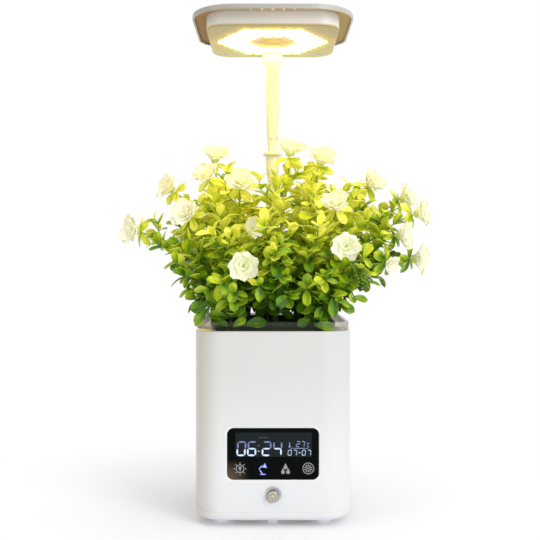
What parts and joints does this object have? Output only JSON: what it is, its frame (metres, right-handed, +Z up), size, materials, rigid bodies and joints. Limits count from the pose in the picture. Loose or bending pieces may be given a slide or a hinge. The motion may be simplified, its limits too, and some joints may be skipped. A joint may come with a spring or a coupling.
{
  "type": "countertop hydroponic garden",
  "caption": "Rounded-square countertop water garden with a clock panel, a lift-out planting tray of flowering sprigs and a flat grow lamp on a telescopic pole.",
  "frame": {"origin": "on the table, under the middle of the pot", "axes": "+Z up, -Y towards the front with the clock panel, +X to the viewer's right"},
  "size_m": [0.3008, 0.1915, 0.4772],
  "materials": {
    "white_shell": "gloss",
    "lamp_white": "satin",
    "lens_black": "gloss",
    "display_dark": "matte",
    "board_green": "satin",
    "board_white": "satin",
    "steel": "satin",
    "soft_grey": "matte",
    "tank_grey": "satin",
    "clear_smoke": "gloss",
    "deck_dark": "satin",
    "basket_black": "satin",
    "sponge_brown": "matte",
    "foliage": "satin",
    "pole_white": "gloss",
    "pole_plastic": "gloss",
    "led_lens": "gloss",
    "sink_metal": "satin",
    "fan_black": "satin",
    "jack_black": "satin",
    "hose_clear": "satin"
  },
  "bodies": {
    "pot": {"outer_shell": "white_shell", "base_cover": "white_shell", "rubber_feet": "soft_grey", "centre_rest": "soft_grey", "base_screws": "steel", "display_lens": "lens_black", "display_module": "display_dark", "control_board": "board_green", "board_screws": "steel", "tact_switch": "fan_black", "power_jack": "jack_black", "jack_nut": "steel", "water_tank": "tank_grey", "pump_body": "fan_black", "pump_cover": "fan_black", "outlet_tube": "hose_clear", "pole_socket": "tank_grey", "lower_pole": "pole_white", "pole_plug": "fan_black", "pole_screw": "steel", "guide_bush": "pole_plastic"},
    "button": {"control_button": "steel"},
    "impeller": {"pump_impeller": "lamp_white"},
    "tray": {"planting_tray": "clear_smoke", "pod_deck": "deck_dark", "net_baskets": "basket_black", "grow_sponges": "sponge_brown", "plant_front_left": "foliage", "plant_front_middle": "foliage", "plant_front_right": "foliage", "plant_back_left": "foliage", "plant_back_right": "foliage"},
    "lamp": {"inner_rod": "pole_white", "rod_glide": "fan_black", "stop_collar": "pole_plastic", "mast_tube": "pole_plastic", "lamp_neck": "pole_plastic", "neck_nut": "steel", "lamp_housing": "lamp_white", "lens_sheet": "led_lens", "led_board": "board_white", "heat_sink": "sink_metal", "fan_frame": "fan_black", "fan_grille": "lamp_white", "cap_liner": "lamp_white", "lamp_cap": "lamp_white", "head_screws": "steel"},
    "fan": {"fan_rotor": "fan_black"}
  },
  "joints": [
    {"name": "lamp_height", "type": "slide", "parent": "pot", "child": "lamp", "axis": [0, 0, 1], "range_m": [-0.004, 0.06]},
    {"name": "tray_lift", "type": "slide", "parent": "pot", "child": "tray", "axis": [0, 0, 1], "range_m": [0, 0.055]},
    {"name": "button_press", "type": "slide", "parent": "pot", "child": "button", "axis": [0, 1, 0], "range_m": [0, 0.0012], "stiffness_N_per_m": 1500},
    {"name": "impeller_spin", "type": "hinge", "parent": "pot", "child": "impeller", "pos_m": [0, -0.001, 0.045], "axis": [0, 0, 1], "continuous": true},
    {"name": "fan_spin", "type": "hinge", "parent": "lamp", "child": "fan", "pos_m": [0, 0.005, 0.469], "axis": [0, 0, 1], "continuous": true}
  ]
}
